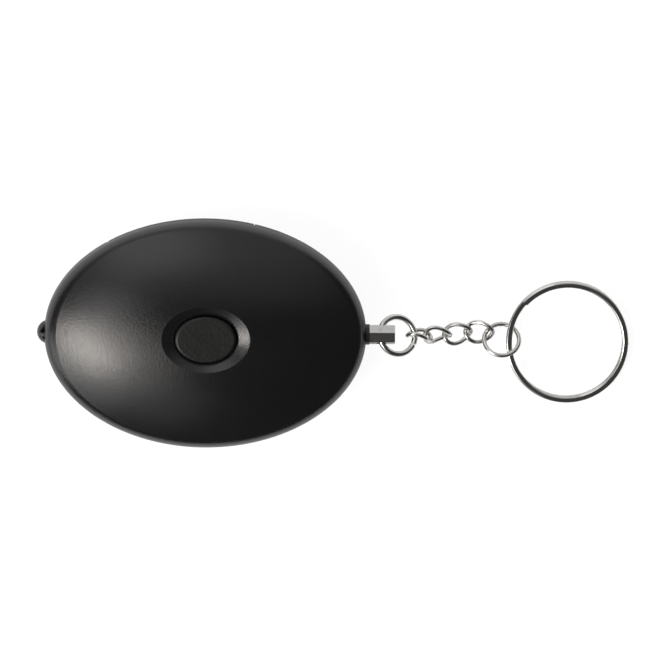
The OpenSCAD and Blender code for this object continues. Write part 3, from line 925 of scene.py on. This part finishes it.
@dataclass
class CutRing(BentWire):
    """A ring of round wire with an open cut, its sheared ends slightly rounded."""

    radius: float = 3.85
    cut: float = 5.0
    cut_at: float = -26.0

    CLOSED: ClassVar[bool] = False
    ENDS: ClassVar[tuple[float, float]] = (0.84, 0.006)

    def sizes(self) -> dict[str, float]:
        """Radius of the wire's middle, and the arc that it covers."""
        start = math.radians(self.cut_at + self.cut / 2)
        return {"Radius": self.radius * MM, "From": start, "Arc": math.radians(360.0 - self.cut)}

    @classmethod
    def course(cls, recipe: Recipe, share: Term) -> tuple[Term, Term, Term]:
        """An open circle."""
        angle = recipe.size("From") + share * recipe.size("Arc")
        return *cls.circle(recipe.size("Radius"), angle), share * 0.0


@dataclass
class SplitRing(BentWire):
    """A key ring of nearly two turns of flattened wire, crossing over in one ramp.

    Both its ends are ground round.
    """

    radius: float = 12.0
    turn: float = 0.9
    gap: float = 0.42
    start: float = 203.5
    ramp: float = 66.0

    STEPS: ClassVar[int] = 360
    SIDES: ClassVar[int] = 32
    CLOSED: ClassVar[bool] = False
    ENDS: ClassVar[tuple[float, float]] = (0.7, 0.004)
    SQUARENESS: ClassVar[float] = 0.78

    def sizes(self) -> dict[str, float]:
        """Radius, height of one turn and of the step to the next, and the angles."""
        return {
            "Radius": self.radius * MM,
            "Turn Height": self.turn * MM,
            "Lift": (self.turn + self.gap) * MM,
            "From": math.radians(self.start),
            "Arc": 2 * FULL_TURN - math.radians(self.ramp),
            "Ramp": math.radians(self.ramp),
        }

    @classmethod
    def course(cls, recipe: Recipe, share: Term) -> tuple[Term, Term, Term]:
        """A circle, then up the ramp, then round again above the first turn.

        Args:
            recipe: The tree.
            share: The share of the wire's length.

        Returns:
            The point's three coordinates.
        """
        along = share * recipe.size("Arc")
        ramp = recipe.size("Ramp")
        climb = ((along - FULL_TURN + ramp) / ramp).most(0.0).least(1.0)
        angle = recipe.size("From") + along
        rise = recipe.size("Lift") * ((climb * math.pi).cos() * -0.5)
        return *cls.circle(recipe.size("Radius"), angle), rise

    @classmethod
    def section(cls, recipe: Recipe) -> Term:
        """A flattened round, wide across the ring and low along its axis.

        Args:
            recipe: The tree.

        Returns:
            The section.
        """
        graph = recipe.graph
        ring = graph.hoop(cls.SIDES)
        angle = graph.node("GeometryNodeSplineParameter") * FULL_TURN
        across, up = angle.cos(), angle.sin()
        wide = across.sign() * abs(across) ** cls.SQUARENESS * recipe.size("Wire") * 0.5
        high = up.sign() * abs(up) ** cls.SQUARENESS * recipe.size("Turn Height") * 0.5
        values = {"Geometry": ring, "Position": graph.vector(wide, high)}
        return graph.node("GeometryNodeSetPosition", {}, values)


@dataclass
class Winding(BentWire):
    """The outer layer of the step-up coil's wire, turn beside turn, with snipped ends."""

    radius: float = 3.44
    height: float = 5.18
    turns: float = 16.2

    STEPS: ClassVar[int] = 650
    SIDES: ClassVar[int] = 10
    CLOSED: ClassVar[bool] = False
    ENDS: ClassVar[tuple[float, float]] = (0.8, 0.001)
    NODE: ClassVar[str] = "coil_winding"
    SLOT: ClassVar[Slot] = Slot.COPPER

    def sizes(self) -> dict[str, float]:
        """Radius and height of the layer, and the angle that it is wound through."""
        layer = {"Radius": self.radius * MM, "Height": self.height * MM}
        return {**layer, "Arc": FULL_TURN * self.turns}

    @classmethod
    def course(cls, recipe: Recipe, share: Term) -> tuple[Term, Term, Term]:
        """A helix about the vertical."""
        around = cls.circle(recipe.size("Radius"), share * recipe.size("Arc"))
        return *around, recipe.size("Height") * (share - 0.5)


@dataclass
class ConeSpring(BentWire):
    """The battery spring, a cone of wire along X with snipped ends."""

    wide: float = 4.2
    narrow: float = 2.2
    length: float = 3.4
    turns: float = 3.0

    STEPS: ClassVar[int] = 180
    SIDES: ClassVar[int] = 16
    CLOSED: ClassVar[bool] = False
    ENDS: ClassVar[tuple[float, float]] = (0.8, 0.004)
    NODE: ClassVar[str] = "battery_spring"
    SLOT: ClassVar[Slot] = Slot.STEEL

    def sizes(self) -> dict[str, float]:
        """Radius at both ends, length, and the angle that it is wound through."""
        return {
            "Wide": self.wide * MM,
            "Narrow": self.narrow * MM,
            "Length": self.length * MM,
            "Arc": FULL_TURN * self.turns,
        }

    @classmethod
    def course(cls, recipe: Recipe, share: Term) -> tuple[Term, Term, Term]:
        """A helix about X that narrows evenly.

        Args:
            recipe: The tree.
            share: The share of the wire's length.

        Returns:
            The point's three coordinates.
        """
        angle = share * recipe.size("Arc")
        radius = recipe.size("Wide") + (recipe.size("Narrow") - recipe.size("Wide")) * share
        return recipe.size("Length") * (share - 0.5), *cls.circle(radius, angle)


@dataclass
class Screws:
    """Screws of one size with their heads down: domed head, cross recess, core and thread.

    The constants are shares: of the head's width in RECESS, of the crown in RECESS_DEPTH, of the
    shank's width in CORE, RIDGE, RIDGE_AT and PITCH, of its length in THREAD and BARE.
    """

    node: str
    places: Sequence[tuple[float, float]]
    seat: float
    shank: float
    length: float
    head: float
    crown: float

    SIDES: ClassVar[int] = 40
    DOME: ClassVar[float] = 1.8
    RECESS: ClassVar[tuple[float, float]] = (0.6, 0.13)
    RECESS_DEPTH: ClassVar[float] = 1.1
    CORE: ClassVar[float] = 0.4
    RIDGE: ClassVar[float] = 0.085
    RIDGE_AT: ClassVar[float] = 0.41
    PITCH: ClassVar[float] = 0.34
    THREAD: ClassVar[float] = 0.8
    BARE: ClassVar[float] = 0.16
    recipes: ClassVar[list[Recipe]] = []

    def sizes(self) -> dict[str, float]:
        """The screws' sizes, in metres."""
        sizes = {"Shank": self.shank, "Length": self.length, "Head": self.head, "Crown": self.crown}
        return {label: size * MM for label, size in sizes.items()}

    @classmethod
    def bar(cls, recipe: Recipe, radius: Term, low: Value, high: Value, rings: int) -> Term:
        """A round bar.

        Args:
            recipe: The tree.
            radius: Its radius.
            low: Height of its lower end.
            high: Height of its upper end.
            rings: Rings of faces on its ends.

        Returns:
            The bar's mesh.
        """
        values = {"Vertices": cls.SIDES, "Side Segments": 1, "Fill Segments": rings}
        values |= {"Radius": radius, "Depth": high - low}
        bar = recipe.graph.node("GeometryNodeMeshCylinder", {"fill_type": "TRIANGLE_FAN"}, values)
        return recipe.graph.moved(bar, recipe.graph.vector(z=(low + high) * 0.5))

    @classmethod
    def head_mesh(cls, recipe: Recipe) -> Term:
        """The domed head with its cross recess.

        Args:
            recipe: The tree.

        Returns:
            The head's mesh.
        """
        graph, head, crown = recipe.graph, recipe.size("Head"), recipe.size("Crown")
        disc = cls.bar(recipe, head * 0.5, crown * -1.0, 0.0, 5)
        x, y, z = graph.axes(graph.node("GeometryNodeInputPosition"))
        rise = graph.vector(z=(x * x + y * y) / (head * head) * z * -cls.DOME)
        solid = graph.node("GeometryNodeSetPosition", {}, {"Geometry": disc, "Offset": rise})
        foot = graph.vector(z=crown * -1.0)
        for along, across in (cls.RECESS, cls.RECESS[::-1]):
            size = graph.vector(head * along, head * across, crown * cls.RECESS_DEPTH)
            block = graph.node("GeometryNodeMeshCube", {}, {"Size": size})
            values = {0: solid, 1: graph.moved(block, foot)}
            solid = graph.node("GeometryNodeMeshBoolean", {"operation": "DIFFERENCE"}, values)
        return solid

    @classmethod
    def thread_mesh(cls, recipe: Recipe) -> Term:
        """The thread's ridge, wound round the core.

        Args:
            recipe: The tree.

        Returns:
            The thread's mesh.
        """
        graph, shank, length = recipe.graph, recipe.size("Shank"), recipe.size("Length")
        turns = length * cls.THREAD / (shank * cls.PITCH)
        values = {"Resolution": 24, "Rotations": turns, "Height": length * cls.THREAD}
        values["Start Radius"] = values["End Radius"] = shank * cls.RIDGE_AT
        line = graph.node("GeometryNodeCurveSpiral", {}, values)
        ridge = graph.swept(line, graph.hoop(6, shank * cls.RIDGE))
        return graph.moved(ridge, graph.vector(z=length * cls.BARE))

    def recipe(self) -> Recipe:
        """The screws' tree, made once.

        Returns:
            The tree.
        """
        if not self.recipes:
            recipe = Recipe("Screws", {label: "Float" for label in self.sizes()})
            radius = recipe.size("Shank") * self.CORE
            core = self.bar(recipe, radius, 0.0, recipe.size("Length"), 1)
            screw = recipe.join(self.head_mesh(recipe), core, self.thread_mesh(recipe))
            values = {"Points": recipe.size("Points"), "Instance": screw}
            recipe.close(recipe.graph.node("GeometryNodeInstanceOnPoints", {}, values))
            self.recipes.append(recipe)
        return self.recipes[0]

    def build(self, finish: Finish) -> None:
        """Makes the screws and puts them in the frame in place of their CAD node.

        Args:
            finish: The screws' finish.
        """
        points = [(x * MM, y * MM, self.seat * MM) for x, y in self.places]
        piece = self.recipe().make(self.node + "_cut", finish, self.sizes(), points)
        fit(piece, Body.CASE, Slot.STEEL, self.node)


@dataclass
class Case:
    """The two shells, the battery door, their screws, the torch button and the pin's bush."""

    frame: Mapping[str, Any]
    screws: list[Screws] = field(default_factory=lambda: [
        Screws("case_screws", [(-22.5, -8.5), (22.0, 9.5), (-1.0, -17.0)],
               seat=5.3, shank=2.0, length=9.2, head=3.8, crown=1.5),
        Screws("door_screw", [(-17.8, 5.0)],
               seat=2.8, shank=1.8, length=5.8, head=3.2, crown=1.1),
        Screws("board_screws", [(-15.0, 0.0), (15.5, -5.0)],
               seat=15.0, shank=1.6, length=2.2, head=3.0, crown=0.9),
    ])

    def build(self) -> None:
        """Cuts the screws and dresses the moulded parts."""
        for screw in self.screws:
            screw.build(Finishes.STEEL)
        nodes = self.frame["nodes"]
        Finishes.CASE.dress(nodes["top_shell"], nodes["rear_shell"], nodes["battery_door"])
        Finishes.BUTTON.dress(nodes["torch_button"])
        Finishes.BUSH.dress(nodes["pin_bush"], nodes["switch_plunger"])


@dataclass
class Lamp:
    """The clear lamp at the case's end, with its lead frame inside."""

    frame: Mapping[str, Any]
    tip: float = -34.5
    radius: float = 2.5
    length: float = 7.6
    flange: float = 1.0
    rim: float = 0.4
    edge: float = 0.12
    cup_side: float = 0.55
    post_side: float = -0.85
    sides: int = 64
    dome_rows: int = 30

    CUP: ClassVar[Profile] = (
        (0.0, 2.55), (0.22, 2.55), (0.48, 2.2), (0.62, 2.2),
        (0.62, 3.1), (0.45, 3.5), (0.45, 8.2), (0.0, 8.2),
    )
    POST: ClassVar[Profile] = (
        (0.0, 2.35), (0.3, 2.35), (0.36, 2.5), (0.36, 3.4), (0.25, 3.8), (0.25, 8.2), (0.0, 8.2),
    )

    def place(self) -> Matrix:
        """From upright about Z to lying along +X in the parting plane."""
        lying = Matrix.Rotation(math.radians(90.0), 4, "Y")
        return Matrix.Translation((self.tip, 0.0, PARTING)) @ lying

    def lens(self) -> bpy.types.Object:
        """The domed lens with its flange.

        Returns:
            The lens.
        """
        angles = (math.radians(90.0 * i / self.dome_rows) for i in range(self.dome_rows + 1))
        dome = [(self.radius * math.sin(a), self.radius * (1 - math.cos(a))) for a in angles]
        foot, back = self.radius + self.rim, self.length + self.flange
        edge = self.edge
        flange = [
            (self.radius, self.length),
            (foot - edge, self.length),
            (foot, self.length + edge),
            (foot, back - edge),
            (foot - edge, back),
            (0.0, back),
        ]
        return as_object("lamp_lens", lathe(dome + flange, self.sides), self.place())

    def lead_frame(self) -> bpy.types.Object:
        """The anvil with its cup, and the post, cast into the lens.

        Returns:
            The lead frame.
        """
        made = lathe(self.CUP, 32)
        made.transform(Matrix.Translation((0.0, self.cup_side, 0.0)))
        post = lathe(self.POST, 24)
        post.transform(Matrix.Translation((0.0, self.post_side, 0.0)))
        spare = bpy.data.meshes.new("post")
        post.to_mesh(spare)
        post.free()
        made.from_mesh(spare)
        bpy.data.meshes.remove(spare)
        return as_object("lamp_lead_frame", made, self.place())

    def build(self) -> None:
        """Makes the lens and the lead frame, and dresses the leads."""
        lens, inner = self.lens(), self.lead_frame()
        Finishes.LENS.dress(lens)
        Finishes.STEEL.dress(inner, self.frame["nodes"]["lamp_leads"])
        fit(lens, Body.CASE, Slot.LENS, "lamp")
        fit(inner, Body.CASE, Slot.STEEL)


@dataclass
class Chain:
    """The pull pin, its ring, four twisted links, the connecting ring and the key ring."""

    frame: Mapping[str, Any]
    wires: list[BentWire] = field(default_factory=lambda: [
        CutRing(Body.PIN_RING, (-6.0, 20.0, -18.0), (39.418, -0.349, 9.286), 1.2),
        TwistedLink(Body.LINK_1, (-8.0, 40.0, 98.0), (44.064, -0.574, 6.691), 0.88),
        TwistedLink(Body.LINK_2, (-6.0, 25.0, 42.0), (47.72, -0.903, 4.374), 0.88),
        TwistedLink(Body.LINK_3, (9.0, 11.0, 16.0), (51.891, -0.797, 2.888), 0.88),
        TwistedLink(Body.LINK_4, (-2.0, 4.6, 8.0), (56.326, -0.529, 2.276), 0.88),
        ClosedRing(Body.CONNECTING_RING, (0.0, 2.0, -34.0), (60.987, -1.981, 2.943), 0.9,
                   joint=-120.0),
        SplitRing(Body.KEY_RING, (0.0, 3.6, 2.0), (74.479, -2.406, 2.045), 1.25),
    ])

    def build(self) -> None:
        """Bends every wire and dresses the pin."""
        for wire in self.wires:
            wire.build(Finishes.NICKEL)
        Finishes.NICKEL.dress(self.frame["nodes"]["pull_pin"])


@dataclass
class Inside:
    """What the case holds: board, siren, cells and the pin's switch."""

    frame: Mapping[str, Any]
    coil_middle: Triple = (-11.5, -6.0, 11.25)
    coil_wire: float = 0.32
    spring_middle: Triple = (-13.0, 8.2, 8.8)
    spring_wire: float = 0.6

    UPRIGHT: ClassVar[Triple] = (0.0, 0.0, 0.0)

    def build(self) -> None:
        """Winds the coil and the spring, and dresses every other inner part."""
        nodes = self.frame["nodes"]
        coil = Winding(Body.CASE, self.UPRIGHT, self.coil_middle, self.coil_wire)
        coil.build(Finishes.COPPER)
        spring = ConeSpring(Body.CASE, self.UPRIGHT, self.spring_middle, self.spring_wire)
        spring.build(Finishes.STEEL)
        worn = {
            Finishes.BOARD: ("circuit_board",),
            Finishes.COMPONENT: (
                "control_chip", "transistor", "chip_resistors", "capacitor", "switch_body",
            ),
            Finishes.NICKEL: ("spring_plate", "contact_plate"),
            Finishes.CELL: ("cell_1", "cell_2", "cell_3"),
            Finishes.PIEZO_BRASS: ("piezo_plate",),
            Finishes.BRASS: ("leaf_post", "fixed_contact"),
            Finishes.COPPER: ("switch_leaf",),
            Finishes.FERRITE: ("coil_core",),
            Finishes.CERAMIC: ("piezo_ceramic",),
            Finishes.SLEEVE: ("piezo_wires",),
        }
        for finish, names in worn.items():
            finish.dress(*(nodes[name] for name in names))


@dataclass(frozen=True)
class Softbox:
    """A rectangular or oval soft light that faces the object.

    Its lean is how far it stands from straight above towards +X and +Y, in degrees. Its distance
    and size are in metres, and a glow of 1 is white.
    """

    name: str
    lean: tuple[float, float]
    far: float
    size: tuple[float, float]
    glow: float
    tint: Triple = (1.0, 1.0, 1.0)
    shape: BoxShape = BoxShape.RECTANGLE

    def build(self) -> None:
        """Adds the light."""
        lamp = bpy.data.lights.new(self.name, "AREA")
        lamp.shape = self.shape.name
        lamp.size, lamp.size_y = self.size
        area = self.shape.value * self.size[0] * self.size[1]
        lamp.energy = self.glow * math.pi * area
        lamp.color = self.tint
        away = Vector((*(math.tan(math.radians(a)) for a in self.lean), 1.0)).normalized()
        stand = bpy.data.objects.new(self.name, lamp)
        stand.location = away * self.far
        stand.rotation_euler = (-away).to_track_quat("-Z", "Y").to_euler()
        stand.visible_camera = False
        bpy.context.scene.collection.objects.link(stand)


@dataclass
class Studio:
    """Floor, light and camera.

    The camera's distance is in mm and its angles in degrees, the scale in pixels a mm. The floor's
    half and the reach of the shade painted on its glow are in metres, its drop below the case in
    mm.
    """

    tilt: float = 8.4
    lean: float = 1.0
    roll: float = 0.66
    distance: float = 3000.0
    scale: float = 4.879
    case_pixel: tuple[float, float] = (205.3, 333.0)
    floor_half: float = 2.5
    floor_drop: float = 0.05
    floor_white: float = 0.9
    floor_card: float = 0.8
    floor_veil: float = 0.3
    painted_shade_reach: float = 0.025
    painted_shade_power: float = 3.0
    room_glow: float = 0.07
    wall_glow: float = 0.75
    wall_way: tuple[float, float] = (-0.15, 0.97)
    wall_side: tuple[float, float] = (0.2, 0.6)
    wall_top: tuple[float, float] = (0.1, 0.3)
    boxes: tuple[Softbox, ...] = (
        Softbox("side_core", (-35.6, -17.5), 0.7, (0.36, 0.09), 17.0, (1.0, 0.95, 0.9),
                BoxShape.ELLIPSE),
        Softbox("side_box", (-30.0, -13.0), 0.7, (0.38, 0.2), 3.1, (1.0, 0.95, 0.9),
                BoxShape.ELLIPSE),
        Softbox("side_spill", (-27.0, -18.0), 0.7, (0.6, 0.4), 1.3, (1.0, 0.97, 0.95),
                BoxShape.ELLIPSE),
        Softbox("side_top", (-29.0, 11.0), 0.7, (0.2, 0.2), 1.7, shape=BoxShape.ELLIPSE),
        Softbox("side_low", (-43.0, -37.0), 0.8, (0.46, 0.22), 1.4),
        Softbox("left_card", (-57.0, -39.0), 0.8, (0.36, 0.2), 1.9),
        Softbox("left_lamp", (-75.0, -56.0), 0.8, (0.4, 0.28), 2.4),
        Softbox("front_fill", (-21.0, -43.0), 0.9, (0.48, 0.34), 0.55),
        Softbox("back_bank", (6.0, 48.0), 1.2, (1.7, 1.6), 0.3),
        Softbox("back_strip", (-14.0, 54.0), 1.2, (2.0, 1.2), 0.22),
        Softbox("back_corner", (-24.0, 48.0), 1.2, (0.6, 0.8), 0.85),
    )

    def floor(self) -> None:
        """A white floor that takes a faint shadow and doesn't hide what swings below it; the glow
        that reflections see carries painted shade near the object.
        """
        mesh = bpy.data.meshes.new("floor")
        half, low = self.floor_half, -self.floor_drop * MM
        corners = [(-half, -half, low), (half, -half, low), (half, half, low), (-half, half, low)]
        mesh.from_pydata(corners, [], [(0, 1, 2, 3)])
        floor = bpy.data.objects.new("floor", mesh)
        bpy.context.scene.collection.objects.link(floor)
        paint = bpy.data.materials.new("white_floor")
        paint.use_nodes = True
        graph = Graph(paint.node_tree)
        path = graph.node("ShaderNodeLightPath")
        camera = path.out("Is Camera Ray")
        seen = camera.most(path.out("Is Glossy Ray")).most(path.out("Is Transmission Ray"))
        card = graph.node("ShaderNodeBsdfDiffuse", {}, {"Color": grey(self.floor_card)})
        # Painted shade: the glow that reflections see is darkened by ambient occlusion near the
        # object.
        reach = {"Distance": self.painted_shade_reach}
        near = graph.node("ShaderNodeAmbientOcclusion", {"samples": 4}, reach, output="AO")
        shade = near ** self.painted_shade_power
        glow = graph.node("ShaderNodeEmission", {}, {"Strength": shade * self.floor_white})
        clear = graph.node("ShaderNodeBsdfTransparent", {}, {"Color": grey(self.floor_white)})
        pane = graph.node("ShaderNodeMixShader", {}, {0: camera, 1: glow, 2: clear})
        veil = graph.node("ShaderNodeBsdfDiffuse", {}, {"Color": grey(self.floor_veil)})
        white = graph.node("ShaderNodeAddShader", {}, {0: pane, 1: veil})
        surface = graph.node("ShaderNodeMixShader", {}, {0: seen, 1: card, 2: white})
        graph.node("ShaderNodeOutputMaterial", {}, {"Surface": surface})
        mesh.materials.append(paint)

    def world(self) -> None:
        """White where the camera looks past the floor, else a dim room with a pale wall behind."""
        world = bpy.data.worlds.new("room")
        world.use_nodes = True
        bpy.context.scene.world = world
        graph = Graph(world.node_tree)
        path = graph.node("ShaderNodeLightPath")
        seen = path.out("Is Camera Ray").most(path.out("Is Transmission Ray"))
        x, y, z = graph.axes(graph.node("ShaderNodeTexCoord", output="Generated"))
        toward = x * self.wall_way[0] + y * self.wall_way[1]
        wall = toward.rise(*self.wall_side) * (1 - z.rise(*self.wall_top))
        glow = wall * self.wall_glow + self.room_glow
        room = graph.node("ShaderNodeBackground", {}, {"Strength": glow})
        white = graph.node("ShaderNodeBackground", {}, {"Color": grey(1.0), "Strength": 1.0})
        mixed = graph.node("ShaderNodeMixShader", {}, {0: seen, 1: room, 2: white})
        graph.node("ShaderNodeOutputWorld", {}, {"Surface": mixed})

    def camera(self) -> None:
        """A long lens above the object, leaning towards +Y and a little towards -X."""
        lean, tilt, roll = (math.radians(a) for a in (self.lean, self.tilt, self.roll))
        back = Vector((-math.tan(lean), math.tan(tilt), 1.0)).normalized()
        side = Vector((0.0, 1.0, 0.0)).cross(back).normalized()
        image_up = back.cross(side)
        right = side * math.cos(roll) + image_up * math.sin(roll)
        up = image_up * math.cos(roll) - side * math.sin(roll)
        middle = PHOTO_SIDE / 2
        across, down = ((middle - pixel) / self.scale for pixel in self.case_pixel)
        aim = Vector((0.0, 0.0, PARTING)) + (right * across - up * down)
        spot = (aim + back * self.distance) * MM
        lens = bpy.data.cameras.new("camera")
        lens.lens = lens.sensor_width * self.distance / (PHOTO_SIDE / self.scale)
        lens.clip_start, lens.clip_end = 0.05, 20.0
        camera = bpy.data.objects.new("camera", lens)
        turned = Matrix((right, up, back)).transposed().to_4x4()
        camera.matrix_world = Matrix.Translation(spot) @ turned
        bpy.context.scene.collection.objects.link(camera)
        bpy.context.scene.camera = camera

    def build(self) -> None:
        """Sets everything up."""
        bpy.context.scene.view_settings.view_transform = "Standard"
        self.floor()
        self.world()
        for box in self.boxes:
            box.build()
        self.camera()


def main() -> None:
    """Builds and dresses the object, then the studio round it."""
    logging.basicConfig(level=logging.INFO, format="%(name)s: %(message)s")
    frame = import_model()
    for part in (Case(frame), Lamp(frame), Chain(frame), Inside(frame)):
        part.build()
    Studio().build()


if __name__ == "__main__":
    main()
